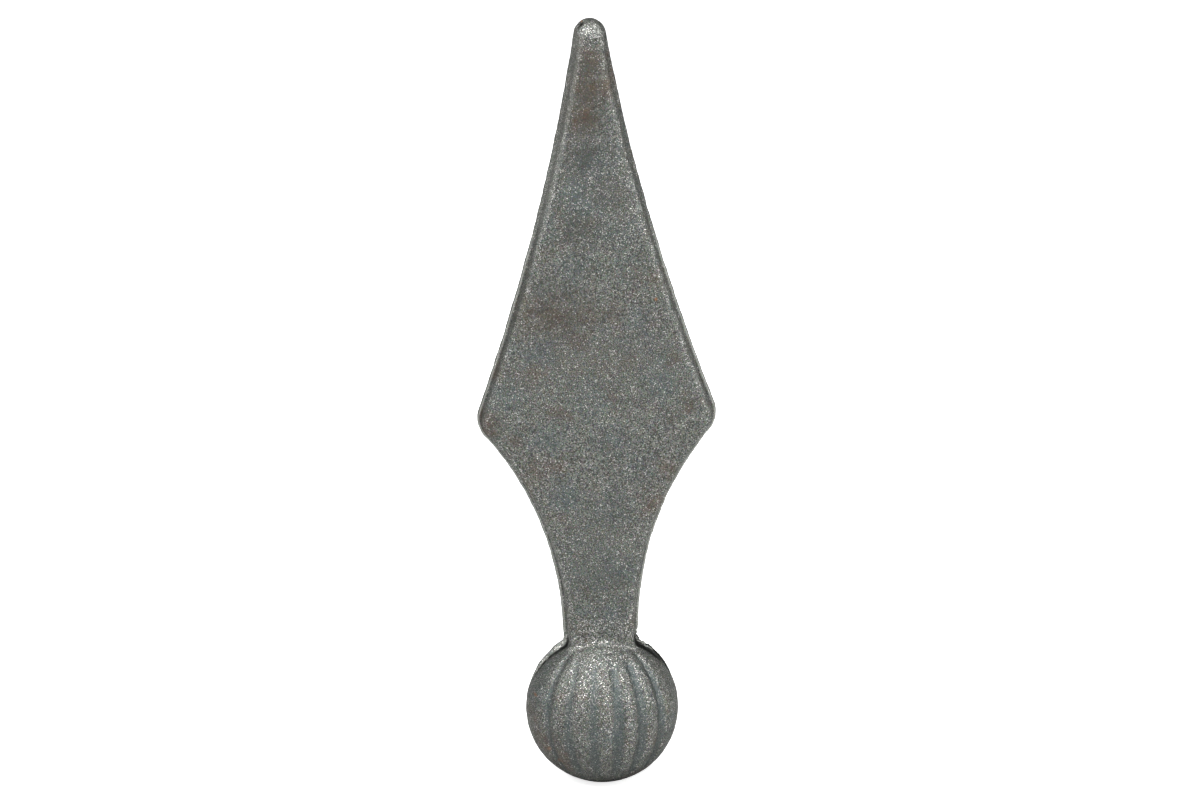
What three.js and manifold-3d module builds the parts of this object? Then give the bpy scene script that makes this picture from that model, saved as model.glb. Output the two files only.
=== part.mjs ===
// Spear finial for the top of a railing picket: a flat spear blade on a fluted ball, forged in one piece.
// Millimetres. +Z runs up to the point, X across the blade, Y through its thickness with the front at -Y.
// The origin is the middle of the small weld flat under the ball.
import * as THREE from "three";
import { mergeVertices } from "three/addons/utils/BufferGeometryUtils.js";
import Module from "manifold-3d";

// Driving dimensions of the whole forging
const TOTAL_HEIGHT = 165;
const BLADE_WIDTH = 50;
const BALL_DIAMETER = 32;
const WELD_FLAT_DIAMETER = 7;

// Outline of the blade, seen from the front
const SHOULDER_HEIGHT = 79.4;
const SHOULDER_RADIUS = 5.9;
const NECK_WIDTH = 15.7;
const NECK_PULL_HEIGHT = 56.6;
const EDGE_PULL_HALF_WIDTH = 9.5;
const EDGE_PULL_HEIGHT = 123.5;
const TIP_RADIUS = 3.4;

// Section of the blade, from the parting plane out to the flat face
const NECK_THICKNESS = 10;
const TIP_THICKNESS = 8;
const DRAFT_ANGLE = THREE.MathUtils.degToRad(7);
const EDGE_RADIUS = 2;
const TIP_EDGE_RADIUS = 3;
const TIP_ROUNDING = 9;

// Trimmed flash left at the parting plane, round the blade and on the shoulders of the ball
const RIM_WIDTH = 0.6;
const TIP_RIM_WIDTH = 0.12;
const RIM_THICKNESS = 1.4;
const WEB_RADIUS = 15.5;
const WEB_RISE = 1.4;
const WEB_FILLET = 1.2;

// Flutes pressed into the front and the back of the ball
const FLUTE_PITCH = THREE.MathUtils.degToRad(20);
const FLUTES_PER_FACE = 6;
const FLUTE_WIDTH = THREE.MathUtils.degToRad(15);
const FLUTE_DEPTH = 0.85;
const FLUTE_TOP_MIDDLE = THREE.MathUtils.degToRad(54);
const FLUTE_TOP_OUTER = THREE.MathUtils.degToRad(61);
const FLUTE_TOP_RUN_OUT = THREE.MathUtils.degToRad(14);
const FLUTE_BOTTOM = THREE.MathUtils.degToRad(-64);
const FLUTE_BOTTOM_RUN_OUT = THREE.MathUtils.degToRad(28);

// Fineness of the facets
const NECK_STEPS = 10;
const SHOULDER_STEPS = 8;
const EDGE_STEPS = 10;
const TIP_STEPS = 7;
const WEB_STEPS = 10;
const FILLET_STEPS = 3;
const ROUND_STEPS = 4;
const BALL_STEPS = 23;
const STEPS_PER_PITCH = 6;

// Points closer than this are the same point, and a point this close to the middle line is on it
const WELD_DISTANCE = 1e-4;
const ON_MIDDLE = 1e-6;

// Sizes that follow from the driving dimensions
const BALL_RADIUS = BALL_DIAMETER / 2;
const WELD_FLAT_RADIUS = WELD_FLAT_DIAMETER / 2;
const BALL_CENTRE_HEIGHT = Math.sqrt(BALL_RADIUS ** 2 - WELD_FLAT_RADIUS ** 2);
const NECK_HALF_WIDTH = NECK_WIDTH / 2;
const WEB_CENTRE = new THREE.Vector2(0, BALL_CENTRE_HEIGHT + WEB_RISE);
const TIP_CENTRE = new THREE.Vector2(0, TOTAL_HEIGHT - TIP_RADIUS);
const SHOULDER_CENTRE = new THREE.Vector2(BLADE_WIDTH / 2 - SHOULDER_RADIUS, SHOULDER_HEIGHT);
const NECK_PULL = new THREE.Vector2(NECK_HALF_WIDTH, NECK_PULL_HEIGHT);
const EDGE_PULL = new THREE.Vector2(EDGE_PULL_HALF_WIDTH, EDGE_PULL_HEIGHT);

// Where a line from a point outside a circle touches it, on one side or the other: side is 1 or -1.
function tangentPoint(from, centre, radius, side) {
  const span = centre.clone().sub(from);
  const turn = side * Math.asin(radius / span.length());
  const reach = Math.sqrt(span.lengthSq() - radius ** 2);
  return span.normalize().rotateAround(new THREE.Vector2(), turn).multiplyScalar(reach).add(from);
}

function angleFrom(centre, point) {
  return Math.atan2(point.y - centre.y, point.x - centre.x);
}

function arc(centre, radius, start, end, clockwise = false) {
  return new THREE.EllipseCurve(centre.x, centre.y, radius, radius, start, end, clockwise);
}

// Points along a chain of smoothly joined curves, each with its normal pointing out of the forging.
function trace(stretches) {
  const samples = [];
  for (const { curve, steps } of stretches) {
    for (let i = samples.length ? 1 : 0; i <= steps; i += 1) {
      const tangent = curve.getTangent(i / steps);
      samples.push({ point: curve.getPoint(i / steps), normal: new THREE.Vector2(tangent.y, -tangent.x) });
    }
  }
  return samples;
}

// The right half of the outline from the neck foot to the point, as curves.
function bladeEdge(neckFoot) {
  const shoulderStart = tangentPoint(NECK_PULL, SHOULDER_CENTRE, SHOULDER_RADIUS, -1);
  const shoulderEnd = tangentPoint(EDGE_PULL, SHOULDER_CENTRE, SHOULDER_RADIUS, 1);
  const tipStart = tangentPoint(EDGE_PULL, TIP_CENTRE, TIP_RADIUS, -1);
  const shoulderFrom = angleFrom(SHOULDER_CENTRE, shoulderStart);
  const shoulderTo = angleFrom(SHOULDER_CENTRE, shoulderEnd);
  return [
    { curve: new THREE.QuadraticBezierCurve(neckFoot, NECK_PULL, shoulderStart), steps: NECK_STEPS },
    { curve: arc(SHOULDER_CENTRE, SHOULDER_RADIUS, shoulderFrom, shoulderTo), steps: SHOULDER_STEPS },
    { curve: new THREE.QuadraticBezierCurve(shoulderEnd, EDGE_PULL, tipStart), steps: EDGE_STEPS },
    { curve: arc(TIP_CENTRE, TIP_RADIUS, angleFrom(TIP_CENTRE, tipStart), Math.PI / 2), steps: TIP_STEPS },
  ];
}

// Adds the left half to the right half, which ends on the middle line at the top.
function closeByMirror(right) {
  const left = right
    .filter(({ point }) => Math.abs(point.x) > ON_MIDDLE)
    .reverse()
    .map(({ point, normal }) => ({
      point: new THREE.Vector2(-point.x, point.y),
      normal: new THREE.Vector2(-normal.x, normal.y),
    }));
  return [...right, ...left];
}

// A closed solid of stacked loops: each layer is the outline moved in by its inset, at a depth along Y.
function pressedSolid(outline, layers) {
  const positions = [];
  const contours = layers.map(({ inset, depth }) =>
    outline.map(({ point, normal }) => {
      const moved = point.clone().addScaledVector(normal, -inset(point.y));
      positions.push(moved.x, depth(moved.y), moved.y);
      return moved;
    }),
  );
  const count = outline.length;
  const index = [];
  for (let layer = 0; layer + 1 < layers.length; layer += 1) {
    for (let i = 0; i < count; i += 1) {
      const here = layer * count + i;
      const next = layer * count + ((i + 1) % count);
      index.push(here, next + count, next, here, here + count, next + count);
    }
  }
  const last = (layers.length - 1) * count;
  for (const [a, b, c] of THREE.ShapeUtils.triangulateShape(contours[0], [])) {
    index.push(a, b, c);
  }
  for (const [a, b, c] of THREE.ShapeUtils.triangulateShape(contours[layers.length - 1], [])) {
    index.push(last + a, last + c, last + b);
  }
  const geometry = new THREE.BufferGeometry();
  geometry.setAttribute("position", new THREE.Float32BufferAttribute(positions, 3));
  geometry.setIndex(index);
  return geometry;
}

// Half the blade's thickness at a height, a straight taper from the neck to the point.
function halfThickness(height) {
  const along = (height - BALL_CENTRE_HEIGHT) / (TOTAL_HEIGHT - BALL_CENTRE_HEIGHT);
  return THREE.MathUtils.lerp(NECK_THICKNESS, TIP_THICKNESS, along) / 2;
}

// A size that stays the same up the blade and eases to its own value at the point.
function easedToTip(size, sizeAtTip, height) {
  const share = THREE.MathUtils.smoothstep(height, TOTAL_HEIGHT - TIP_ROUNDING, TOTAL_HEIGHT);
  return THREE.MathUtils.lerp(size, sizeAtTip, share);
}

// The blade's body: drafted walls from the parting plane, a rounded edge and a flat face on either side.
function bladeBody() {
  const edgeRadius = (height) => easedToTip(EDGE_RADIUS, TIP_EDGE_RADIUS, height);
  const rimWidth = (height) => easedToTip(RIM_WIDTH, TIP_RIM_WIDTH, height);
  const wallRise = (height) => halfThickness(height) - edgeRadius(height) * (1 - Math.sin(DRAFT_ANGLE));
  const wallInset = (height) => rimWidth(height) + wallRise(height) * Math.tan(DRAFT_ANGLE);
  const half = [{ inset: rimWidth, depth: () => 0 }];
  for (let i = 0; i <= ROUND_STEPS; i += 1) {
    const turn = THREE.MathUtils.lerp(DRAFT_ANGLE, Math.PI / 2, i / ROUND_STEPS);
    half.push({
      inset: (height) => wallInset(height) + edgeRadius(height) * (Math.cos(DRAFT_ANGLE) - Math.cos(turn)),
      depth: (height) => halfThickness(height) - edgeRadius(height) * (1 - Math.sin(turn)),
    });
  }
  const back = half
    .slice(1)
    .reverse()
    .map(({ inset, depth }) => ({ inset, depth: (height) => -depth(height) }));
  const root = new THREE.Vector2(NECK_HALF_WIDTH, BALL_CENTRE_HEIGHT);
  const neckFoot = new THREE.Vector2(NECK_HALF_WIDTH, BALL_CENTRE_HEIGHT + BALL_RADIUS);
  const stretches = [{ curve: new THREE.LineCurve(root, neckFoot), steps: 1 }, ...bladeEdge(neckFoot)];
  return pressedSolid(closeByMirror(trace(stretches)), [...back, ...half]);
}

// The thin flash rim: the outline of the blade, filleted into a web round the shoulders of the ball.
function flashRim() {
  const filletX = NECK_HALF_WIDTH + WEB_FILLET;
  const filletRise = Math.sqrt((WEB_RADIUS + WEB_FILLET) ** 2 - filletX ** 2);
  const filletCentre = new THREE.Vector2(filletX, WEB_CENTRE.y + filletRise);
  const filletAngle = angleFrom(WEB_CENTRE, filletCentre);
  const neckFoot = new THREE.Vector2(NECK_HALF_WIDTH, filletCentre.y);
  const stretches = [
    { curve: arc(WEB_CENTRE, WEB_RADIUS, -Math.PI / 2, filletAngle), steps: WEB_STEPS },
    { curve: arc(filletCentre, WEB_FILLET, filletAngle - Math.PI, -Math.PI, true), steps: FILLET_STEPS },
    ...bladeEdge(neckFoot),
  ];
  const layers = [-RIM_THICKNESS / 2, RIM_THICKNESS / 2].map((y) => ({ inset: () => 0, depth: () => y }));
  return pressedSolid(closeByMirror(trace(stretches)), layers);
}

// How deep the flutes are at a longitude from the front and a latitude, both in radians.
function fluteDepth(longitude, latitude) {
  const fromFace = Math.abs(longitude) > Math.PI / 2 ? Math.PI - Math.abs(longitude) : Math.abs(longitude);
  if (fromFace > (FLUTES_PER_FACE / 2) * FLUTE_PITCH) {
    return 0;
  }
  const fromGroove = Math.abs((fromFace % FLUTE_PITCH) - FLUTE_PITCH / 2);
  const across = Math.min((2 * fromGroove) / FLUTE_WIDTH, 1);
  const outermost = ((FLUTES_PER_FACE - 1) / 2) * FLUTE_PITCH;
  const top = THREE.MathUtils.lerp(FLUTE_TOP_MIDDLE, FLUTE_TOP_OUTER, Math.min(fromFace / outermost, 1));
  const below = THREE.MathUtils.smoothstep(top - latitude, 0, FLUTE_TOP_RUN_OUT);
  const above = THREE.MathUtils.smoothstep(latitude - FLUTE_BOTTOM, 0, FLUTE_BOTTOM_RUN_OUT);
  return FLUTE_DEPTH * Math.cos((across * Math.PI) / 2) ** 2 * below * above * Math.cos(latitude);
}

// The ball, turned about Z with a weld flat below, then pressed in along its flutes.
function flutedBall() {
  const flatAngle = Math.asin(WELD_FLAT_RADIUS / BALL_RADIUS);
  const profile = [new THREE.Vector2(0, -BALL_CENTRE_HEIGHT)];
  for (let i = 0; i < BALL_STEPS; i += 1) {
    const fromBottom = THREE.MathUtils.lerp(flatAngle, Math.PI, i / BALL_STEPS);
    profile.push(new THREE.Vector2(BALL_RADIUS * Math.sin(fromBottom), -BALL_RADIUS * Math.cos(fromBottom)));
  }
  profile.push(new THREE.Vector2(0, BALL_RADIUS));
  const stepsAround = Math.round((2 * Math.PI) / FLUTE_PITCH) * STEPS_PER_PITCH;
  const geometry = new THREE.LatheGeometry(profile, stepsAround);
  geometry.rotateX(Math.PI / 2);
  const position = geometry.getAttribute("position");
  const vertex = new THREE.Vector3();
  for (let i = 0; i < position.count; i += 1) {
    vertex.fromBufferAttribute(position, i);
    const latitude = Math.asin(THREE.MathUtils.clamp(vertex.z / BALL_RADIUS, -1, 1));
    const depth = fluteDepth(Math.atan2(vertex.x, -vertex.y), latitude);
    vertex.multiplyScalar(1 - depth / BALL_RADIUS);
    position.setXYZ(i, vertex.x, vertex.y, vertex.z + BALL_CENTRE_HEIGHT);
  }
  return geometry;
}

const library = await Module();
library.setup();

function solidFrom(geometry) {
  const bare = geometry.clone();
  bare.deleteAttribute("normal");
  bare.deleteAttribute("uv");
  const merged = mergeVertices(bare, WELD_DISTANCE);
  const mesh = new library.Mesh({
    numProp: 3,
    vertProperties: merged.getAttribute("position").array,
    triVerts: new Uint32Array(merged.index.array),
  });
  return new library.Manifold(mesh);
}

function geometryFrom(solid) {
  const mesh = solid.getMesh();
  const geometry = new THREE.BufferGeometry();
  geometry.setAttribute("position", new THREE.BufferAttribute(mesh.vertProperties, 3));
  geometry.setIndex(new THREE.BufferAttribute(mesh.triVerts, 1));
  const faceted = geometry.toNonIndexed();
  faceted.computeVertexNormals();
  return faceted;
}

const forgedSteel = new THREE.MeshStandardMaterial({
  name: "forged_steel",
  color: 0x6b6d6c,
  roughness: 0.55,
  metalness: 0.85,
});

const forging = solidFrom(flutedBall()).add(solidFrom(bladeBody())).add(solidFrom(flashRim()));
const spearFinial = new THREE.Mesh(geometryFrom(forging), forgedSteel);
spearFinial.name = "spear_finial";

const part = new THREE.Group();
part.add(spearFinial);

export default part;
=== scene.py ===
import math

import bmesh
import bpy
from mathutils import Matrix, Vector, noise


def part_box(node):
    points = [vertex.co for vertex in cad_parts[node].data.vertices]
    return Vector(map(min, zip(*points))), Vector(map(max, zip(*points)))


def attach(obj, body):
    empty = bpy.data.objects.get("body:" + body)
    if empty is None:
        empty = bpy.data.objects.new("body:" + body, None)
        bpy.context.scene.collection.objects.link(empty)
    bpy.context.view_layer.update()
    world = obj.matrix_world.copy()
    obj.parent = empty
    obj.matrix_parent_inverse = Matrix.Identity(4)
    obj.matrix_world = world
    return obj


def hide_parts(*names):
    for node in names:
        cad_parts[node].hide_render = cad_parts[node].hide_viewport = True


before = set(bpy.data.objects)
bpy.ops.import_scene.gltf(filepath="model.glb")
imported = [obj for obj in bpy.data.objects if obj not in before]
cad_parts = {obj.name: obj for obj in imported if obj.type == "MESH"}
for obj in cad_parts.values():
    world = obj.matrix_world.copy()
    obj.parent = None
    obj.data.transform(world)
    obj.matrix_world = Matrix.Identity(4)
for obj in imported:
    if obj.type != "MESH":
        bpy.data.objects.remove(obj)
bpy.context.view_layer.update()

bl_info = {
    "name": "Forged Spear Finial",
    "version": (1, 0, 0),
    "blender": (4, 5, 0),
    "location": "View3D > Sidebar > Spear Finial",
    "description": "Models a forged steel spear finial with a fluted ball, and the plain stage it stands on",
    "category": "Object",
}

MM = 0.001
NODE = "spear_finial"
NODE_LOW, NODE_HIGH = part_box(NODE)


def length(name, description, default):
    """A property for a length in metres, shown in the scene's own unit."""
    return bpy.props.FloatProperty(
        name=name, description=description, default=default, min=0.0, unit="LENGTH", precision=4
    )


def angle(name, description, degrees):
    """A property for an angle, given here in degrees."""
    return bpy.props.FloatProperty(
        name=name, description=description, default=math.radians(degrees), subtype="ANGLE"
    )


def power(name, description, watts):
    """A property for a light's power."""
    return bpy.props.FloatProperty(name=name, description=description, default=watts, min=0.0, unit="POWER")


def colour(name, description, red, green, blue):
    """A property for a linear colour."""
    default = (red, green, blue)
    return bpy.props.FloatVectorProperty(
        name=name, description=description, default=default, size=3, min=0.0, max=1.0, subtype="COLOR"
    )


def strength(name, description, default):
    """A property for a strength, from nothing upwards."""
    return bpy.props.FloatProperty(name=name, description=description, default=default, min=0.0)


class ForgingSizes(bpy.types.PropertyGroup):
    """Driving dimensions of the forging."""

    height: length("Height", "From the weld flat to the point", NODE_HIGH.z)
    blade_width: length("Blade width", "Across the shoulders", 2 * NODE_HIGH.x)
    ball_diameter: length("Ball diameter", "Over the ribs between the flutes", 2 * NODE_HIGH.y)
    weld_flat_diameter: length("Weld flat", "Diameter of the flat under the ball", 7 * MM)
    shoulder_height: length("Shoulder height", "Where the blade is widest", 79.4 * MM)
    shoulder_radius: length("Shoulder radius", "Rounding of the shoulders", 5.9 * MM)
    neck_width: length("Neck width", "Across the foot of the neck", 15.7 * MM)
    neck_pull_height: length("Neck pull height", "Where the neck's curve is drawn towards", 56.6 * MM)
    edge_pull_half_width: length("Edge pull", "How far out the upper edge is drawn", 9.5 * MM)
    edge_pull_height: length("Edge pull height", "How high the upper edge is drawn", 123.5 * MM)
    tip_radius: length("Tip radius", "Rounding of the point", 3.4 * MM)
    neck_thickness: length("Neck thickness", "Through the foot of the neck", 10 * MM)
    tip_thickness: length("Tip thickness", "Through the point", 8 * MM)
    draft: angle("Draft", "Lean of the blade's walls", 7)
    edge_radius: length("Edge radius", "Rounding between wall and face", 2 * MM)
    tip_edge_radius: length("Tip edge radius", "That rounding at the point", 3 * MM)
    tip_rounding: length("Tip rounding", "Length over which the point's rounding grows", 9 * MM)
    rim_width: length("Rim width", "How far the trimmed flash stands out", 0.6 * MM)
    tip_rim_width: length("Tip rim width", "How far it still stands out at the point", 0.12 * MM)
    rim_thickness: length("Rim thickness", "Thickness of the trimmed flash", 1.4 * MM)
    web_radius: length("Web radius", "Radius of the flash on the ball's shoulders", 15.5 * MM)
    web_rise: length("Web rise", "Centre of that radius above the ball's centre", 1.4 * MM)
    web_fillet: length("Web fillet", "Rounding of the flash between ball and neck", 1.2 * MM)
    neck_fillet: length("Neck fillet", "Reach of the rounding between ball and neck", 1.5 * MM)
    flute_pitch: angle("Flute pitch", "Turn from one flute to the next", 20)
    flute_width: angle("Flute width", "Turn across one flute", 15)
    flute_depth: length("Flute depth", "Depth of the flutes", 0.85 * MM)


class ForgedFinish(bpy.types.PropertyGroup):
    """Colours and relief of the raw forged surface."""

    steel: colour("Steel", "Blasted steel", 0.208, 0.214, 0.196)
    scale: colour("Mill scale", "Dark scale between the bright grains", 0.070, 0.072, 0.066)
    bright: colour("Bright grains", "Facets laid bare by blasting", 0.92, 0.93, 0.90)
    oxide: colour("Oxide", "Brown patches of oxide", 0.112, 0.078, 0.058)
    heat_tint: colour("Heat tint", "Faint blue tint left by the heat", 0.088, 0.116, 0.122)
    rust: colour("Rust", "Small specks of rust", 0.30, 0.12, 0.04)
    roughness: bpy.props.FloatProperty(
        name="Roughness", description="Roughness of the scale", default=0.46, min=0.0, max=1.0
    )
    grain_size: length("Grain size", "Across one grain of the blasted surface", 0.25 * MM)
    facet_tilt: strength("Facet tilt", "How far the grains lean against each other", 0.5)
    waviness: length("Waviness", "Height of the broad unevenness of the dies", 0.10 * MM)
    peel: length("Scale relief", "Height of the rough scale", 0.05 * MM)


class StudioSettings(bpy.types.PropertyGroup):
    """The stage, its lights and the camera."""

    floor: colour("Floor", "Colour of the floor", 0.9, 0.9, 0.9)
    bounce: colour("Bounce", "Colour of the floor as it lights the finial", 0.7, 0.7, 0.7)
    front: strength("Front", "Strength of the light in front", 0.12)
    back: strength("Back", "Strength of the light behind", 0.08)
    overhead: power("Overhead light", "Power of the light above", 10.8)
    high_left: power("High left light", "Power of the light above on the left", 5.2)
    left: power("Left light", "Power of the light on the left", 0.9)
    right: power("Right light", "Power of the light on the right", 5.7)
    azimuth: angle("Azimuth", "Camera's turn towards +X from straight in front", -2.8)
    elevation: angle("Elevation", "Camera's height above the horizon", 16.1)
    roll: angle("Roll", "How far the camera is tilted about its view", 1.06)
    distance: length("Distance", "Camera to the middle of the ball", 3.72)


# Rows of the skin from the weld flat, where they are shares of its radius, to the point; its columns; and the
# steps along the flash's edge on the ball
FLAT_ROWS = (0.0, 0.35, 0.7, 0.96)
BALL_ROWS = 70
COLLAR_ROWS = 26
FILLET_ROWS = 10
NECK_ROWS = 100
SHOULDER_ROWS = 14
EDGE_ROWS = 150
TIP_ROWS = 16
WALL_COLUMNS = 2
ROUND_COLUMNS = 10
FACE_COLUMNS = 35
WEB_STEPS = 24
WEB_FILLET_STEPS = 6

# How near the points that are welded lie: on the mirrored seams, over the whole skin and along an edge
SEAM_MERGE = 1e-7
SKIN_MERGE = 3e-7
EDGE_MERGE = 1e-8

# Where the collar under the neck begins, where the ball's drafted side ends and how its columns crowd towards
# the flash, and up to where the neck's rows follow the ball
COLLAR_LATITUDE = math.radians(30)
SIDE_AZIMUTH = math.radians(25)
SIDE_SPREAD = 1.3
BLEND_HEIGHT = 36 * MM

# Latitudes between which the flutes run, the middle and the outermost ones, and how gradually they run out
FLUTE_TOP_MIDDLE = math.radians(54)
FLUTE_TOP_OUTER = math.radians(61)
FLUTE_TOP_RUN_OUT = math.radians(14)
FLUTE_BOTTOM = math.radians(-64)
FLUTE_BOTTOM_RUN_OUT = math.radians(28)
FLUTES_PER_FACE = 6

# The trimmed flash in section, column by column: depth as a share of its half thickness, then how far it
# stands out as a share of its reach: on the blade and the ball, with a crease at its foot, and high on the
# blade, where it runs into the wall
RIM_DEPTHS = (0.0, 0.5, 0.8, 0.94, 1.0, 1.04, 1.16, 1.5)
RIM_ON_BLADE = (1.0, 0.99, 0.95, 0.86, 0.6, 0.15, -0.3, -0.03, 0.0)
RIM_ON_BALL = (1.0, 0.99, 0.95, 0.86, 0.6, 0.15, -0.28, -0.36, -0.3, -0.14, 0.0)
RIM_HIGH = (1.0, 0.75, 0.61, 0.54, 0.51, 0.5, 0.44, 0.3, 0.0)
RIM_COLUMNS = len(RIM_DEPTHS) - 1

# Over what length marks on the flash come and go, and how far above the neck's foot its section and the gap
# beside it are still as on the ball
SOFT = 2 * MM
BALL_RIM_TOP = 1.5 * MM
BALL_GAP_TOP = 1 * MM

# Where the flash begins to run into the wall and where it has, and how much less bare it is there
RIM_HIGH_START = 112 * MM
RIM_HIGH_END = 126 * MM
RIM_HIGH_DULL = 0.9

# What the trimming left of the flash's reach: the mean, how much it varies slowly and quickly, over what
# lengths, and how far the quick noise is shifted from the slow one
REACH_MEAN = 1.03
REACH_SLOW = 0.18
REACH_QUICK = 0.14
SLOW_LENGTH = 5 * MM
QUICK_LENGTH = 1.3 * MM
QUICK_SHIFT = Vector((7, 0, 3))

# Beyond this share of its reach the flash's edge loses the sheared lightening and is painted with shade this
# dark
FLASH_EDGE = 0.94
FLASH_EDGE_SHADE = 0.62

# How steeply a lap, a nick or a scrape rises from its edge to its full strength
MARK_SLOPE = 1.6

# Short laps where the flash has folded away: side, height, half length, and depth as a share; and the share
# of its reach below which they open
LAPS = (
    (-1, 42.4 * MM, 3.2 * MM, 0.45),
    (1, 85.0 * MM, 5.0 * MM, 0.6),
)
LAP_MOUTH = 0.5

# How much of the crease at the foot of the flash, and of the shade painted in it, is left along the neck and
# the blade's lower edge, left and right, and along the right of the upper blade, and the length over which it
# changes at the shoulders
LOWER_CREASE_LEFT = 0.3
LOWER_CREASE_RIGHT = 0.0
UPPER_CREASE_RIGHT = 0.55
CREASE_CHANGE = 8 * MM

# The gap beside the flash, painted with shade: the share of its reach where it begins, on the left of the
# ball and elsewhere, how softly, and how dark its painted shade is low on the ball, left and right
GAP_MOUTH_LEFT = -0.1
GAP_MOUTH = 0.02
GAP_SOFT = 0.2
LOW_GAP_LEFT = 0.5
LOW_GAP_RIGHT = 0.15

# The flash on the right shoulder of the ball is painted with shade between two heights, and wholly so from a
# share of its reach on; above a third height the painted shade breaks into chipped patches, wholly so from a
# larger share on
DARK_FLASH_LOW = 21.9 * MM
DARK_FLASH_HIGH = 32.5 * MM
DARK_FLASH_SOFT = 2.5 * MM
DARK_FLASH_SHARE = 0.2
CHIPPED_FLASH = 27.2 * MM
CHIPPED_SOFT = 1.5 * MM
CHIPPED_SHARE = 0.5

# Between these heights the flash on the right shoulder of the ball is torn back to a share of its width
TORN_FLASH_LOW = 26.5 * MM
TORN_FLASH_HIGH = 33.5 * MM
TORN_SHARE = 0.1

# The flash on the left shoulder of the ball is sheared bright and partly painted with a highlight: between
# which heights, how much less bare it is than elsewhere, and how far its front leans back, how unevenly, over
# what length, and at the most
BRIGHT_FLASH_LOW = 24.0 * MM
BRIGHT_FLASH_HIGH = 33.0 * MM
LEDGE_DULL = 0.4
LEDGE_BEVEL = 0.75
LEDGE_UNEVEN = 0.9
LEDGE_LENGTH = 0.9 * MM
LEDGE_LIMIT = 0.95

# Small nicks, with shade painted into them: where they are, their radius and their depth
NICKS = (
    (Vector((-2.2, -0.9, 164.2)) * MM, 1.15 * MM, 0.5 * MM),
)

# Scrapes that lay the steel bare, partly painted glints: where they are and their radius
SCRAPES_AND_GLINTS = (
    (Vector((1.3, -2.3, 163.9)) * MM, 1.3 * MM),
    (Vector((1.8, -2.9, 162.9)) * MM, 0.9 * MM),
    (Vector((-1.5, -1.0, 164.6)) * MM, 0.5 * MM),
)

# Patchy marks: how far they cover their place and how sharply they end; then the size of their grains
CHIPPED_PATCHES = (0.8, 2.0)
GAP_PATCHES = (1.1, 2.0)
TORN_PATCHES = (0.75, 2.5, 0.8 * MM)
SCRAPE_AND_GLINT_PATCHES = (0.8, 2.5, 0.5 * MM)
FOOT_PATCHES = (0.6, 2.2, 1.4 * MM)
LEDGE_PATCHES = (0.45, 2.5, 0.9 * MM)

# The flutes on the left of the front are filled a little: by what share of their depth, how far left of the
# middle wholly, and from what height and how gradually
FLUTE_FILL = 0.4
FLUTE_FILL_SIDE = 4 * MM
FLUTE_FILL_LOW = 5 * MM
FLUTE_FILL_SOFT = 10 * MM

# How strongly the steel is made bright: a painted highlight, as bright steel, about the neck's foot; wear on
# the ribs low on the ball and a painted highlight on them high up; wear and a painted highlight on the
# blade's edges, more so on the left one high up; a painted highlight at the tip; wear on the upper face; wear
# and a painted highlight on the left flash; and wear and a painted glint on the scrapes
FOOT_SHEEN = 1.5
WORN_RIBS = 0.5
HIGH_RIB_SHEEN = 1.0
EDGE_WEAR_AND_SHEEN = 1.0
HIGH_LEFT_SHEEN = 1.3
TIP_SHEEN = 1.25
WORN_FACE = 0.4
LEDGE_WEAR_AND_SHEEN = 3.0
SCRAPE_WEAR_AND_GLINT = 1.5

# How far the painted highlight reaches about the neck's foot: down the ball, up the neck and in from the
# neck's corners
FOOT_BELOW = 1.5 * MM
FOOT_ABOVE = 0.7 * MM
FOOT_SIDE = 1 * MM

# Where the wear and painted highlight begin and over what length they grow: the painted highlight at the tip
# and high on the ribs, the wear low on the ribs, both up the edges from the neck's foot, and the wear on the
# upper face, which has an upper end too
TIP_SHEEN_ONSET = (159.5 * MM, 3 * MM)
HIGH_RIB_SHEEN_ONSET = (18 * MM, 8 * MM)
LOW_RIB_WEAR = (0.0, 20 * MM)
EDGE_WEAR_AND_SHEEN_LENGTH = 6 * MM
FACE_WEAR = (112 * MM, 143 * MM, 8 * MM)

# An edge is worn and painted with a highlight where it has turned from the front to this cosine, and wholly
# once it has fallen this much more; on the left flash the wear and painted highlight lie this deep, with a
# soft end
EDGE_TURN = 0.985
EDGE_TURN_SOFT = 0.12
LEDGE_DEPTH = 1 * MM
LEDGE_SOFT = 0.3 * MM

# The scale about the neck's foot is rougher: by how much, between which heights, and how gradually
COARSE_FOOT = 2.6
COARSE_HEIGHTS = (26 * MM, 32.2 * MM, 1.5 * MM)

# Relief: lengths of the dies' unevenness, the scale, the pits and their clusters; the scale's roughness, step
# and octaves; a pit's reach as a share of its length, and its depth
WAVE_LENGTH = 15 * MM
PEEL_LENGTH = 2.2 * MM
PIT_LENGTH = 3.1 * MM
PIT_CLUSTERS = 6 * MM
PEEL_OCTAVES = (0.8, 2.1, 3)
PIT_REACH = 0.45
PIT_DEPTH = 0.25 * MM

# Where relief begins above the weld flat and over what length it grows, and how far outside the ball's radius
# a point still counts as on it
RELIEF_START = (0.1 * MM, 1.0 * MM)
ON_BALL_WITHIN = 0.1 * MM


def lerp(start, end, share):
    return start + (end - start) * share


def smooth(value):
    """Eases from 0 to 1 as the value goes from 0 to 1."""
    value = min(max(value, 0.0), 1.0)
    return value * value * (3 - 2 * value)


def onset(value, start, soft):
    """Eases from 0 at the start to 1 beyond a soft stretch."""
    return smooth((value - start) / soft)


def between(value, low, high, soft):
    """1 between two values and 0 outside them, with soft ends inside them."""
    return smooth((value - low) / soft) * smooth((high - value) / soft)


def mark(away, reach):
    """How strongly a small mark shows at a distance from its middle, from 1 about it to 0 at its reach."""
    return smooth(MARK_SLOPE * (1 - away / reach))


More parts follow.
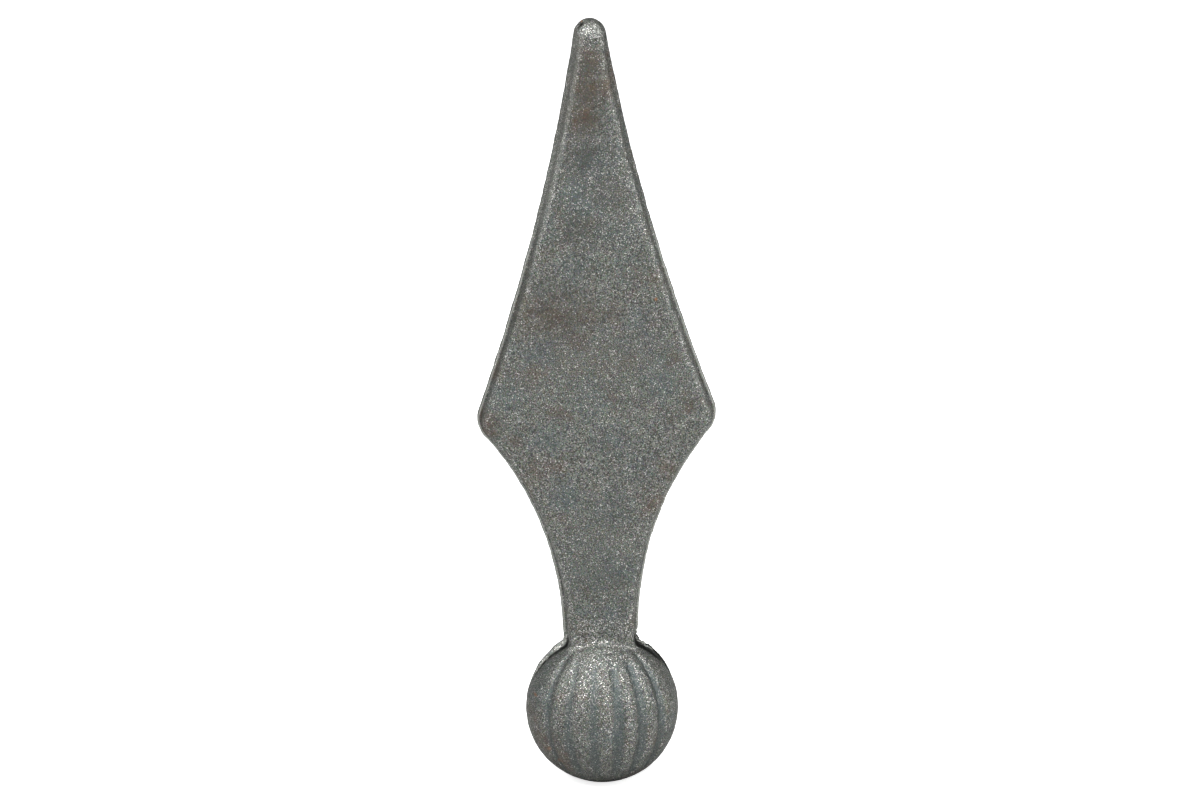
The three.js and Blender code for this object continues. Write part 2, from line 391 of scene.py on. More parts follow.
def patchy(at, cover, contrast, grain):
    """Patches from 0 to 1 that cover more or less of the surface, with grains of a size."""
    return smooth(cover + contrast * noise.noise(at / grain))


def tangent_point(start, centre, radius, side):
    """Where a line from start touches a circle, on one side of it or the other."""
    span = centre - start
    reach = math.sqrt(span.length_squared - radius**2)
    turn = side * math.asin(radius / span.length)
    return start + reach * (Matrix.Rotation(turn, 2) @ span.normalized())


def angle_from(centre, point):
    return math.atan2(point.y - centre.y, point.x - centre.x)


def arc(centre, radius, start, end, steps):
    """Points and outward normals along an arc, its start left out."""
    samples = []
    for step in range(1, steps + 1):
        turn = lerp(start, end, step / steps)
        out = Vector((math.cos(turn), math.sin(turn)))
        samples.append((centre + radius * out, out))
    return samples


def bend(start, pull, end, steps):
    """Points and outward normals along a curve from start to end, drawn towards pull, its start left out."""
    samples = []
    for step in range(1, steps + 1):
        share = step / steps
        point = (1 - share) ** 2 * start + 2 * share * (1 - share) * pull + share * share * end
        along = ((1 - share) * (pull - start) + share * (end - pull)).normalized()
        samples.append((point, Vector((along.y, -along.x))))
    return samples


def walk(points, share):
    """The point at a share of the length of a chain of points."""
    lengths = [(end - start).length for start, end in zip(points, points[1:])]
    left = share * sum(lengths)
    for start, end, span in zip(points, points[1:], lengths):
        if left <= span:
            return start.lerp(end, left / span)
        left -= span
    return points[-1].copy()


class Skin:
    """Places the points of a quarter of the forging's skin: right of the middle, behind the parting plane."""

    def __init__(self, size):
        self.size = size
        self.ball_radius = size.ball_diameter / 2
        self.flat_radius = size.weld_flat_diameter / 2
        self.ball_height = math.sqrt(self.ball_radius**2 - self.flat_radius**2)
        self.half_neck = size.neck_width / 2
        self.rim_half = size.rim_thickness / 2
        self.tip_start = size.height - size.tip_rounding
        self.web_centre = Vector((0, self.ball_height + size.web_rise))
        self.side_columns = RIM_COLUMNS + WALL_COLUMNS + ROUND_COLUMNS
        self.columns = self.side_columns + FACE_COLUMNS
        self.place_web_fillet()
        self.edge = self.blade_edge()
        self.rows = self.all_rows()
        self.reach = self.rim_reach()

    def place_web_fillet(self):
        """Centres the rounding between the flash on the ball and the neck, level with the neck's foot."""
        size = self.size
        out = self.half_neck + size.web_fillet
        rise = math.sqrt((size.web_radius + size.web_fillet) ** 2 - out**2)
        self.fillet_centre = Vector((out, self.web_centre.y + rise))
        self.foot_height = self.fillet_centre.y

    def blade_edge(self):
        """The right half of the blade's outline, from the neck foot to the point."""
        size = self.size
        foot = Vector((self.half_neck, self.foot_height))
        neck_pull = Vector((self.half_neck, size.neck_pull_height))
        edge_pull = Vector((size.edge_pull_half_width, size.edge_pull_height))
        shoulder = Vector((size.blade_width / 2 - size.shoulder_radius, size.shoulder_height))
        tip = Vector((0, size.height - size.tip_radius))
        shoulder_start = tangent_point(neck_pull, shoulder, size.shoulder_radius, -1)
        shoulder_end = tangent_point(edge_pull, shoulder, size.shoulder_radius, 1)
        tip_start = tangent_point(edge_pull, tip, size.tip_radius, -1)
        shoulder_turn = angle_from(shoulder, shoulder_start), angle_from(shoulder, shoulder_end)
        return [
            (foot, Vector((1, 0))),
            *bend(foot, neck_pull, shoulder_start, NECK_ROWS),
            *arc(shoulder, size.shoulder_radius, *shoulder_turn, SHOULDER_ROWS),
            *bend(shoulder_end, edge_pull, tip_start, EDGE_ROWS),
            *arc(tip, size.tip_radius, angle_from(tip, tip_start), math.pi / 2, TIP_ROWS),
        ]

    def half_thickness(self, height):
        along = (height - self.ball_height) / (self.size.height - self.ball_height)
        return lerp(self.size.neck_thickness, self.size.tip_thickness, along) / 2

    def tip_share(self, height):
        return smooth((height - self.tip_start) / self.size.tip_rounding)

    def edge_radius(self, height):
        """The rounding between wall and face, which grows towards the point."""
        return lerp(self.size.edge_radius, self.size.tip_edge_radius, self.tip_share(height))

    def rim_width(self, height):
        """How far the flash stands out, which is less at the point."""
        return lerp(self.size.rim_width, self.size.tip_rim_width, self.tip_share(height))

    def section(self, column, height):
        """How far in from the rim's edge and how deep the body lies in a column up to the face's edge."""
        size = self.size
        half = self.half_thickness(height)
        radius = self.edge_radius(height)
        wall_depth = half - radius * (1 - math.sin(size.draft))
        if column <= RIM_COLUMNS + WALL_COLUMNS:
            rim_depth = min(self.rim_half, wall_depth) * RIM_DEPTHS[min(column, RIM_COLUMNS)]
            share = max(column - RIM_COLUMNS, 0) / WALL_COLUMNS
            depth = lerp(rim_depth, wall_depth, share)
            return self.rim_width(height) + depth * math.tan(size.draft), depth
        share = (column - RIM_COLUMNS - WALL_COLUMNS) / ROUND_COLUMNS
        turn = lerp(size.draft, math.pi / 2, share)
        wall_inset = self.rim_width(height) + wall_depth * math.tan(size.draft)
        inset = wall_inset + radius * (math.cos(size.draft) - math.cos(turn))
        return inset, half - radius * (1 - math.sin(turn))

    def azimuth(self, column):
        """Which way a column faces on the ball, from +X towards the face."""
        if column <= RIM_COLUMNS:
            return math.asin(self.rim_half * RIM_DEPTHS[column] / self.ball_radius)
        if column <= self.side_columns:
            share = (column - RIM_COLUMNS) / (self.side_columns - RIM_COLUMNS)
            return lerp(self.azimuth(RIM_COLUMNS), SIDE_AZIMUTH, share**SIDE_SPREAD)
        return lerp(SIDE_AZIMUTH, math.pi / 2, (column - self.side_columns) / FACE_COLUMNS)

    def on_blade(self, column, sample):
        """A point on the blade's body."""
        point, normal = sample
        inset, depth = self.section(min(column, self.side_columns), point.y)
        at = point - inset * normal
        if column > self.side_columns:
            at.x *= 1 - (column - self.side_columns) / FACE_COLUMNS
            depth = self.half_thickness(at.y)
        return Vector((at.x, depth, at.y))

    def junction(self, column):
        """Where a column of the neck's foot meets the ball, from the ball's centre."""
        foot = self.on_blade(column, self.edge[0])
        rise = math.sqrt(self.ball_radius**2 - foot.x**2 - foot.y**2)
        return Vector((foot.x, foot.y, rise))

    def flute_share(self, out):
        """How deep a flute is in a direction from the ball's centre: 0 on the ribs, 1 along its bottom."""
        size = self.size
        from_face = abs(math.atan2(out.x, abs(out.y)))
        if from_face > FLUTES_PER_FACE / 2 * size.flute_pitch:
            return 0.0
        latitude = math.asin(out.z)
        across = abs(from_face % size.flute_pitch - size.flute_pitch / 2) / (size.flute_width / 2)
        outermost = (FLUTES_PER_FACE - 1) / 2 * size.flute_pitch
        top = lerp(FLUTE_TOP_MIDDLE, FLUTE_TOP_OUTER, min(from_face / outermost, 1.0))
        below = smooth((top - latitude) / FLUTE_TOP_RUN_OUT)
        above = smooth((latitude - FLUTE_BOTTOM) / FLUTE_BOTTOM_RUN_OUT)
        return math.cos(min(across, 1.0) * math.pi / 2) ** 2 * below * above * math.cos(latitude)

    def on_ball(self, out):
        """A point on the fluted ball in a direction from its centre."""
        at = out * (self.ball_radius - self.size.flute_depth * self.flute_share(out))
        return at + Vector((0, 0, self.ball_height))

    def around(self, column, latitude):
        turn = self.azimuth(column)
        level = math.cos(latitude)
        return Vector((level * math.cos(turn), level * math.sin(turn), math.sin(latitude)))

    def collar(self, column, share):
        """A point on the ball between the collar's lower latitude and the start of the neck's fillet."""
        start = self.around(column, COLLAR_LATITUDE)
        end = self.junction(column).normalized()
        arc_length = self.ball_radius * start.angle(end)
        return self.on_ball(start.slerp(end, share * (1 - self.size.neck_fillet / arc_length)))

    def on_neck(self, column, sample):
        """A point on the blade, lowered near its foot so that the lowest row follows the ball."""
        at = self.on_blade(column, sample)
        if at.z < BLEND_HEIGHT:
            foot = self.junction(column).z + self.ball_height + self.size.neck_fillet
            share = (at.z - self.foot_height) / (BLEND_HEIGHT - self.foot_height)
            at.z = lerp(foot, BLEND_HEIGHT, share)
        return at

    def fillet(self, column, share):
        """A point on the small fillet between the ball and the neck."""
        start = self.collar(column, 1.0)
        corner = self.junction(column) + Vector((0, 0, self.ball_height))
        end = self.on_neck(column, self.edge[0])
        return (1 - share) ** 2 * start + 2 * share * (1 - share) * corner + share**2 * end

    def all_rows(self):
        """The body's points, row by row from the pole of the weld flat to the point, without the flash."""
        every = range(self.columns + 1)
        lowest = -math.asin(self.ball_height / self.ball_radius)
        rows = []
        for share in FLAT_ROWS:
            level = share * self.flat_radius
            turns = [self.azimuth(column) for column in every]
            rows.append([Vector((level * math.cos(turn), level * math.sin(turn), 0)) for turn in turns])
        for step in range(BALL_ROWS):
            latitude = lerp(lowest, COLLAR_LATITUDE, step / BALL_ROWS)
            rows.append([self.on_ball(self.around(column, latitude)) for column in every])
        for step in range(COLLAR_ROWS + 1):
            rows.append([self.collar(column, step / COLLAR_ROWS) for column in every])
        for step in range(1, FILLET_ROWS):
            rows.append([self.fillet(column, step / FILLET_ROWS) for column in every])
        for sample in self.edge:
            rows.append([self.on_neck(column, sample) for column in every])
        return rows

    def rim_line(self):
        """The flash's outer edge from where it leaves the ball to where the neck runs on plainly."""
        size = self.size
        crossing = (self.ball_radius**2 - size.web_radius**2 - size.web_rise**2) / (2 * size.web_rise)
        start = math.asin(crossing / size.web_radius)
        end = angle_from(self.web_centre, self.fillet_centre)
        line = arc(self.web_centre, size.web_radius, start, end, WEB_STEPS)
        line += arc(self.fillet_centre, size.web_fillet, end + math.pi, math.pi, WEB_FILLET_STEPS)
        line += [sample for sample in self.edge if sample[0].y < BLEND_HEIGHT]
        return [point for point, _ in line]

    def rim_reach(self):
        """How far the flash stands out from the body in each row, as a vector in the parting plane."""
        rim = self.rim_line()
        plane = [Vector((row[0].x, row[0].z)) for row in self.rows]
        first = next(i for i, at in enumerate(plane) if at.y > rim[0].y)
        last = next(i for i, at in enumerate(plane) if at.y >= BLEND_HEIGHT)
        whole = sum((plane[i + 1] - plane[i]).length for i in range(first, last))
        reach = [Vector((0, 0)) for _ in plane]
        gone = 0.0
        for i in range(first, last):
            reach[i] = walk(rim, gone / whole) - plane[i]
            gone += (plane[i + 1] - plane[i]).length
        blade_start = len(plane) - len(self.edge)
        for i in range(last, len(plane)):
            point, normal = self.edge[i - blade_start]
            reach[i] = self.rim_width(point.y) * normal
        return reach


def high_share(height):
    """How far the flash has run into the wall at a height on the blade."""
    return onset(height, RIM_HIGH_START, RIM_HIGH_END - RIM_HIGH_START)


def rim_share(column, on_ball, high):
    """How far a column stands out with the flash, on the ball, low or high on the blade, or in between."""
    sections = (RIM_ON_BLADE, RIM_HIGH, RIM_ON_BALL)
    low_blade, high_blade, ball = (shares[column] if column < len(shares) else 0.0 for shares in sections)
    return lerp(lerp(low_blade, high_blade, high), ball, on_ball)


def quarter_skin(skin):
    """A quarter of the skin: a grid moved into place, with the flash's reach kept on its points."""
    bm = bmesh.new()
    across, up = skin.columns, len(skin.rows) - 1
    bmesh.ops.create_grid(bm, x_segments=across, y_segments=up, size=0.5)
    weight = bm.verts.layers.float.new("rim")
    reach = bm.verts.layers.float_vector.new("reach")
    for vert in bm.verts:
        column = round((vert.co.x + 0.5) * across)
        row = round((vert.co.y + 0.5) * up)
        vert.co = skin.rows[row][column]
        out = skin.reach[row]
        if column < len(RIM_ON_BALL) and out.length_squared:
            on_ball = smooth((skin.foot_height + BALL_RIM_TOP - vert.co.z) / SOFT)
            vert[weight] = rim_share(column, on_ball, high_share(vert.co.z))
            vert[reach] = Vector((out.x, 0, out.y))
    return bm


def close_skin(bm):
    """Mirrors the quarter to the left and to the front, and welds its seams, its pole and its point."""
    for axis in "XY":
        whole = bm.verts[:] + bm.edges[:] + bm.faces[:]
        bmesh.ops.mirror(bm, geom=whole, merge_dist=SEAM_MERGE, axis=axis)
    bmesh.ops.remove_doubles(bm, verts=bm.verts[:], dist=SKIN_MERGE)
    bmesh.ops.dissolve_degenerate(bm, dist=EDGE_MERGE, edges=bm.edges[:])
    bmesh.ops.recalc_face_normals(bm, faces=bm.faces[:])


def lap_share(side, height):
    """How deep the laps are at a height on one side of the blade, as a share of the flash's reach."""
    deepest = 0.0
    for lap_side, middle, half_length, depth in LAPS:
        if side == lap_side:
            deepest = max(deepest, depth * mark(abs(height - middle), half_length))
    return deepest


def crease_kept(side, height, skin):
    """How much of the sunken foot of the flash, and of the shade painted there, is left at a height, on one
    side.
    """
    neck = onset(height, skin.foot_height, SOFT)
    upper = smooth((height - skin.size.shoulder_height + CREASE_CHANGE / 2) / CREASE_CHANGE)
    lower_crease = LOWER_CREASE_LEFT if side < 0 else LOWER_CREASE_RIGHT
    upper_crease = 1.0 if side < 0 else UPPER_CREASE_RIGHT
    return lerp(1.0, lerp(lower_crease, upper_crease, upper), neck)


def flash_shade(side, height, share, quick):
    """How strongly shade is painted on the flash at a height, on the right shoulder of the ball."""
    if side < 0:
        return 0.0
    chipped = onset(height, CHIPPED_FLASH, CHIPPED_SOFT)
    chipped *= onset(share, DARK_FLASH_SHARE, CHIPPED_SHARE - DARK_FLASH_SHARE)
    cover, contrast = CHIPPED_PATCHES
    dark = between(height, DARK_FLASH_LOW, DARK_FLASH_HIGH, DARK_FLASH_SOFT)
    dark *= smooth(share / DARK_FLASH_SHARE)
    return dark * (1 - chipped * smooth(cover + contrast * quick))


def gap_shade(side, height, quick):
    """How dark the painted shade in the flash's gap is on the ball: uneven on the left shoulder, and fainter
    low down.
    """
    if side > 0:
        return lerp(LOW_GAP_RIGHT, 1.0, smooth((height - DARK_FLASH_LOW - DARK_FLASH_SOFT) / SOFT))
    cover, contrast = GAP_PATCHES
    return lerp(LOW_GAP_LEFT, smooth(cover + contrast * quick), onset(height, BRIGHT_FLASH_LOW, SOFT))


def ledge_share(side, height):
    """How far a height lies in the bright flash on the left shoulder of the ball."""
    return between(height, BRIGHT_FLASH_LOW, BRIGHT_FLASH_HIGH, SOFT) if side < 0 else 0.0


def raise_flash(bm, skin):
    """Stands the flash out from the parting line, with an edge left uneven by the trimming."""
    weight = bm.verts.layers.float["rim"]
    reach = bm.verts.layers.float_vector["reach"]
    crease = bm.verts.layers.float.new("crease")
    for vert in bm.verts:
        share = vert[weight]
        if not share:
            continue
        side, height = math.copysign(1, vert.co.x), vert.co.z
        out = vert[reach].copy()
        out.x = math.copysign(out.x, vert.co.x)
        slow = noise.noise(vert.co / SLOW_LENGTH)
        quick = noise.noise(vert.co / QUICK_LENGTH + QUICK_SHIFT)

        kept = crease_kept(side, height, skin)
        lap = lap_share(side, height)
        if share < 0.0:
            share *= kept
        if share < LAP_MOUTH:
            share -= lap * (LAP_MOUTH - share)

        on_ball = height < skin.foot_height + BALL_GAP_TOP
        mouth = GAP_MOUTH_LEFT if on_ball and side < 0 else GAP_MOUTH
        gap = smooth((mouth - share) / GAP_SOFT) * max(kept, smooth(2 * lap))
        if on_ball:
            gap *= gap_shade(side, height, quick)
        # Painted shade: the gap beside the flash and the flash on the right shoulder of the ball are darkened
        vert[crease] = max(gap, flash_shade(side, height, share, quick))
        vert[weight] *= 1 - RIM_HIGH_DULL * high_share(height)
        ledge = ledge_share(side, height)
        vert[weight] *= 1 - LEDGE_DULL * ledge
        # The flash's outer edge loses the sheared lightening and gets painted shade, a painted dark outline
        if share > FLASH_EDGE:
            vert[weight] = 0.0
            vert[crease] = max(vert[crease], FLASH_EDGE_SHADE)

        if ledge and vert.co.y < 0 and share > 0:
            ragged = 1 + LEDGE_UNEVEN * noise.noise(vert.co / LEDGE_LENGTH)
            vert.co.y *= 1 - min(LEDGE_BEVEL * ragged * ledge, LEDGE_LIMIT) * share
        torn = between(height, TORN_FLASH_LOW, TORN_FLASH_HIGH, SOFT) if side > 0 else 0.0
        torn *= patchy(vert.co, *TORN_PATCHES)
        left = REACH_MEAN + REACH_SLOW * slow + REACH_QUICK * quick
        vert.co += out * share * lerp(1.0, TORN_SHARE, torn) * left
    bm.verts.layers.float_vector.remove(reach)


def mark_point(bm):
    """Presses in the small nicks with painted shade, and lays the steel bare along the scrapes, partly a
    painted glint.
    """
    worn = bm.verts.layers.float.new("worn")
    crease = bm.verts.layers.float["crease"]
    bare = bm.verts.layers.float["rim"]
    for place, radius, depth in NICKS:
        for vert in bm.verts:
            near = mark((vert.co - place).length, radius)
            if near:
                vert.co -= vert.normal * depth * near
                # Painted shade in the nick
                vert[crease] = max(vert[crease], near)
    for place, radius in SCRAPES_AND_GLINTS:
        for vert in bm.verts:
            near = mark((vert.co - place).length, radius)
            if near:
                # Bare steel along the scrape, partly a painted glint
                vert[bare] = max(vert[bare], near * patchy(vert.co, *SCRAPE_AND_GLINT_PATCHES))
                vert[worn] = max(vert[worn], SCRAPE_WEAR_AND_GLINT * near)


def foot_sheen(at, skin):
    """How strongly a highlight is painted about the neck's foot, as bright steel, on the ball and just up the
    neck.
    """
    beyond = abs(at.y) - skin.size.neck_thickness / 2
    if at.z < skin.ball_height or abs(beyond) > FOOT_BELOW:
        return 0.0
    above = at.z - skin.ball_height - math.sqrt(max(skin.ball_radius**2 - at.x**2 - at.y**2, 0.0))
    side = abs(at.x) - skin.half_neck
    down = FOOT_SHEEN * smooth(1 - max(beyond, 0.0) / FOOT_BELOW)
    return down * smooth(1 - above / FOOT_ABOVE) * smooth(-side / FOOT_SIDE) * patchy(at, *FOOT_PATCHES)


def wear_and_sheen_share(vert, flute, skin):
    """How far the steel is made bright at a point by wear and painted highlight, by the strongest of their
    kinds.
    """
    at = vert.co
    # Wear and a painted highlight on the rounded edges
    edges = EDGE_WEAR_AND_SHEEN * smooth((EDGE_TURN - abs(vert.normal.y)) / EDGE_TURN_SOFT)
    edges *= onset(at.z, skin.foot_height, EDGE_WEAR_AND_SHEEN_LENGTH)
    # Painted highlight: the left edge is made brighter high up
    if at.x < 0:
        edges *= lerp(1.0, HIGH_LEFT_SHEEN, high_share(at.z))
    # Painted highlight on the tip's rounded cap
    tip = TIP_SHEEN * onset(at.z, *TIP_SHEEN_ONSET)
    ribs = 0.0
    # Wear on the ribs, and a painted highlight on them high on the ball
    if at.z < BLEND_HEIGHT:
        ribs = lerp(WORN_RIBS, HIGH_RIB_SHEEN, onset(at.z, *HIGH_RIB_SHEEN_ONSET))
        ribs *= (1 - flute) * onset(at.z, *LOW_RIB_WEAR)
    # Wear and a painted highlight on the left flash
    ledge = LEDGE_WEAR_AND_SHEEN * patchy(at, *LEDGE_PATCHES) * ledge_share(at.x, at.z)
    ledge *= smooth((LEDGE_DEPTH - abs(at.y)) / LEDGE_SOFT)
    face = WORN_FACE * between(at.z, *FACE_WEAR)
    return max(ribs, foot_sheen(at, skin), ledge, edges, tip, face)


def roughen(bm, finish, skin):
    """Gives the skin the unevenness of the dies' wear and of rough scale, its wear and painted highlights,
    and its filled flutes.
    """
    flutes = bm.verts.layers.float.new("flute")
    worn = bm.verts.layers.float["worn"]
    moves = []
    for vert in bm.verts:
        at = vert.co
        from_ball = at - Vector((0, 0, skin.ball_height))
        fill = 0.0
        if from_ball.length < skin.ball_radius + ON_BALL_WITHIN:
            flute = skin.flute_share(from_ball.normalized())
            left = smooth((FLUTE_FILL_SIDE - at.x) / (2 * FLUTE_FILL_SIDE)) if at.y < 0 else 0.0
            left *= onset(at.z, FLUTE_FILL_LOW, FLUTE_FILL_SOFT)
            fill = FLUTE_FILL * left * flute * skin.size.flute_depth
            vert[flutes] = flute * (1 - FLUTE_FILL * left)
        vert[worn] = max(vert[worn], wear_and_sheen_share(vert, vert[flutes], skin))
        wave = finish.waviness * noise.noise(at / WAVE_LENGTH) / 2
        peel = finish.peel * noise.fractal(at / PEEL_LENGTH, *PEEL_OCTAVES)
        peel *= lerp(1.0, COARSE_FOOT, between(at.z, *COARSE_HEIGHTS))
        nearest_pit = noise.voronoi(at / PIT_LENGTH)[0][0]
        pit = max(0.0, PIT_REACH - nearest_pit) * max(0.0, noise.noise(at / PIT_CLUSTERS))
        relief = (wave + peel - PIT_DEPTH * pit) * onset(at.z, *RELIEF_START)
        moves.append((vert, vert.normal * (relief + fill)))
    for vert, move in moves:
        vert.co += move


def keep_inside(bm, low, high):
    """Holds every point within the forging's overall sizes."""
    for vert in bm.verts:
        for axis in range(3):
            vert.co[axis] = min(max(vert.co[axis], low[axis]), high[axis])


# Places in the editor: nodes to a column, and the space between them
NODE_ROWS = 12
NODE_SPACING = 200


def new_node(tree, kind, **settings):
    """Adds a node with its settings, in the next place of a grid in the editor."""
    column, row = divmod(len(tree.nodes), NODE_ROWS)
    node = tree.nodes.new(kind)
    node.location = (column * NODE_SPACING, -row * NODE_SPACING)
    for name, value in settings.items():
        setattr(node, name, value)
    return node


def feed(tree, node, **inputs):
    """Sets a node's inputs, or links them to a socket: Base_Color is a name, and _0 the first input."""
    for name, value in inputs.items():
        key = int(name[1:]) if name[0] == "_" else name.replace("_", " ")
        if isinstance(value, bpy.types.NodeSocket):
            tree.links.new(value, node.inputs[key])
        else:
            node.inputs[key].default_value = value
    return node


def noise_texture(tree, where, size, detail, roughness, distortion=0.0):
    """Noise whose grains are about the given size in metres."""
    node = new_node(tree, "ShaderNodeTexNoise")
    feed(tree, node, Vector=where, Scale=1 / size, Detail=detail, Roughness=roughness, Distortion=distortion)
    return node.outputs["Fac"]


def remap(tree, value, low, high, to_low=0.0, to_high=1.0):
    """Eases from one strength to another as a value goes from low to high."""
    node = new_node(tree, "ShaderNodeMapRange", interpolation_type="SMOOTHSTEP")
    feed(tree, node, Value=value, From_Min=low, From_Max=high, To_Min=to_low, To_Max=to_high)
    return node.outputs["Result"]


def maths(tree, operation, first, *others):
    """Joins values in turn, by adding, multiplying, subtracting or keeping the greatest."""
    for other in others:
        node = new_node(tree, "ShaderNodeMath", operation=operation)
        first = feed(tree, node, _0=first, _1=other).outputs["Value"]
    return first


def multiply_add(tree, value, factor, added):
    node = new_node(tree, "ShaderNodeMath", operation="MULTIPLY_ADD")
    return feed(tree, node, _0=value, _1=factor, _2=added).outputs["Value"]


def vector_maths(tree, operation, first, second, output="Vector"):
    node = new_node(tree, "ShaderNodeVectorMath", operation=operation)
    return feed(tree, node, _0=first, _1=second).outputs[output]


def separate(tree, vector):
    """The X, Y and Z of a vector."""
    return feed(tree, new_node(tree, "ShaderNodeSeparateXYZ"), Vector=vector).outputs


def blend_colour(tree, share, base, over, blend_type="MIX"):
    node = new_node(tree, "ShaderNodeMix", data_type="RGBA", blend_type=blend_type)
    return feed(tree, node, _0=share, _6=base, _7=over).outputs[2]


def rgba(value):
    return (*value, 1.0)


def paint(tree, base, layers):
    """Lays colours over a base, each as strongly as its mask."""
    for mask, over in layers:
        base = blend_colour(tree, mask, base, rgba(over))
    return base


# Patches of oxide, of heat tint and of heavier scale, and specks of rust: across, height and radius in
# millimetres, and strength
OXIDE_PATCHES = (
    (-0.2, 157.5, 4.5, 0.8), (-0.3, 151.5, 7, 1.0), (-2.6, 145, 6, 1.0),
    (4.2, 152.5, 5, 0.9), (-1.9, 161.4, 1.1, 0.9), (-2.1, 159.2, 1.4, 0.9),
    (3.6, 157.4, 1.6, 0.9), (-13.5, 102.5, 7, 0.6), (-8, 102.5, 7, 0.5),
    (-2, 102, 5, 0.5), (-21.6, 90, 3.5, 0.7), (-23.4, 78.5, 5, 1.0),
    (12, 61.4, 4, 0.9), (14.8, 68.5, 3.5, 0.7), (-14, 68, 4, 0.5),
    (-12.5, 11, 5, 0.9), (-8.5, 7, 5, 0.7), (-15, 16, 4, 0.6),
)
HEAT_PATCHES = (
    (-0.4, 134.5, 7, 0.9), (-3.4, 128, 6, 0.7), (6, 120, 6, 0.7),
    (-4.5, 112.6, 6, 0.8), (7.3, 112, 6, 0.7), (9.2, 98.8, 7, 0.6),
    (-18.3, 84.4, 5, 0.8), (13.2, 87, 6, 0.9), (-1.6, 83.5, 7, 0.7),
    (3.1, 74.6, 7, 0.8), (-10.7, 74.8, 6, 0.7), (8, 68.6, 6, 0.7),
    (-6.7, 62.5, 5, 0.9), (2.3, 60, 7, 0.7), (2.1, 47, 6, 0.8),
    (2.6, 37, 4, 0.9), (-12.6, 21, 4, 0.6),
)
SCALE_PATCHES = (
    (-1.0, 155.5, 5, 0.8), (-1.0, 150, 6, 0.8), (-1.4, 144, 7, 0.8),
    (-2, 136, 7, 0.7), (2, 129, 7, 0.4), (-3, 121, 8, 0.6),
    (-8, 103, 13, 0.55), (-24, 78, 5, 0.4), (-9, 40, 4, 0.3),
    (1, 45, 10, 0.3), (0, 58, 9, 0.2), (-9, 8, 9, 0.4),
)
RUST_SPECKS = (
    (12.6, 105.2, 0.5, 0.9), (-14.2, 20.3, 0.5, 0.6), (-11.6, 9.3, 0.8, 0.35),
    (-9.4, 6.6, 0.8, 0.35), (-1.7, 164.5, 0.35, 0.7),
)

# Noises of the finish: size of their grains, which the finest has from the panel, detail, roughness and
# distortion
GRAIN = (3.0, 0.6)
MOTTLE = (1.8 * MM, 5.0, 0.7)
CLOUD = (8 * MM, 6.0, 0.65)
WARMTH = (6 * MM, 6.0, 0.65, 0.4)
RAGGED = (2.0 * MM, 6.0, 0.7)

# Where each effect sets in: between which values of its noise, mask or height, then its strength at either
# end where that isn't 0 and 1
STEEL_RAMP = (0.42, 0.6)
CLOUD_RAMP = (0.5, 0.7, 0.0, 0.3)
WARMTH_RAMP = (0.5, 0.72, 0.0, 0.4)
SHADE_RAMP = (0.3, 0.7, 0.86, 1.14)
OXIDE_RAMP = (0.4, 0.66, 0.3, 1.0)
HEAT_RAMP = (0.3, 0.6, 1.0, 0.4)
SCALE_RAMP = (0.3, 0.6, 0.6, 1.0)
GROOVE_RAMP = (0.08, 0.65, 0.0, 0.46)
LOW_GROOVE_SHADE_RAMP = (6 * MM, 18 * MM, 0.5, 0.0)
SHEARED_RAMP = (0.2, 0.7, 0.0, 0.75)
WEAR_AND_SHEEN_RAMP = (0.9, 1.8, 0.0, 0.4)
PICK_RAMP = (0.8, 0.95)
GRAIN_EDGE_RAMP = (0.5, 0.25)
CLUSTER_RAMP = (0.3, 0.6, 0.3, 1.0)
ROUGH_RAMP = (0.3, 0.7)

# How strongly patches tint the steel, grains show their own colours, wear and painted highlight lay more of
# them bare and oxide dulls them; how light sheared steel, wear and painted highlight are beside the rest, and
# how dark painted shade is beside scale
HEAT_TINT = 0.6
OXIDE_TINT = 0.85
GRAIN_TINT = 0.14
WEAR_AND_SHEEN_GRAINS = 0.22
OXIDE_DULL = 0.8
SHEARED_AND_SHEEN_LIGHT = 1.9
PAINTED_SHADE_DARK = 0.25

# How much rougher the scale and smoother the grains are than the mean, and bare grains besides; the mottle's
# share of the relief, and the relief's height
SCALE_ROUGHER = 0.1
GRAIN_SMOOTHER = 0.15
BARE_SMOOTHER = 0.2
MOTTLE_RELIEF = 1.5
BUMP_HEIGHT = 0.15 * MM


def patches(tree, flat, spots):
    """How near a point seen from the front is to the nearest of some spots, as the strength of that spot."""
    near = []
    for across, height, radius, full in spots:
        away = vector_maths(tree, "DISTANCE", flat, (across * MM, 0, height * MM), "Value")
        near.append(remap(tree, away, 0.0, radius * MM, full, 0.0))
    return maths(tree, "MAXIMUM", *near)


def grain_tilt(tree, where, cells, finish):
    """Relief that leans every grain its own way, so that some of them catch the light."""
    from_middle = vector_maths(tree, "SUBTRACT", where, cells.outputs["Position"])
    lean = vector_maths(tree, "SUBTRACT", cells.outputs["Color"], (0.5, 0.5, 0.5))
    rise = vector_maths(tree, "DOT_PRODUCT", from_middle, lean, "Value")
    return maths(tree, "MULTIPLY", rise, finish.facet_tilt / finish.grain_size)


def bare_grains(tree, cells, mottle, worn, dull):
    """Mask of the grains that are laid bare: a few, in clusters, more with wear and painted highlight, fewer
    where dull.
    """
    own_colour = feed(tree, new_node(tree, "ShaderNodeSeparateColor"), Color=cells.outputs["Color"])
    picked = multiply_add(tree, worn, WEAR_AND_SHEEN_GRAINS, own_colour.outputs["Red"])
    middle = remap(tree, cells.outputs["Distance"], *GRAIN_EDGE_RAMP)
    clusters = remap(tree, mottle, *CLUSTER_RAMP)
    kept = maths(tree, "SUBTRACT", 1.0, dull)
    return maths(tree, "MULTIPLY", remap(tree, picked, *PICK_RAMP), middle, clusters, kept)


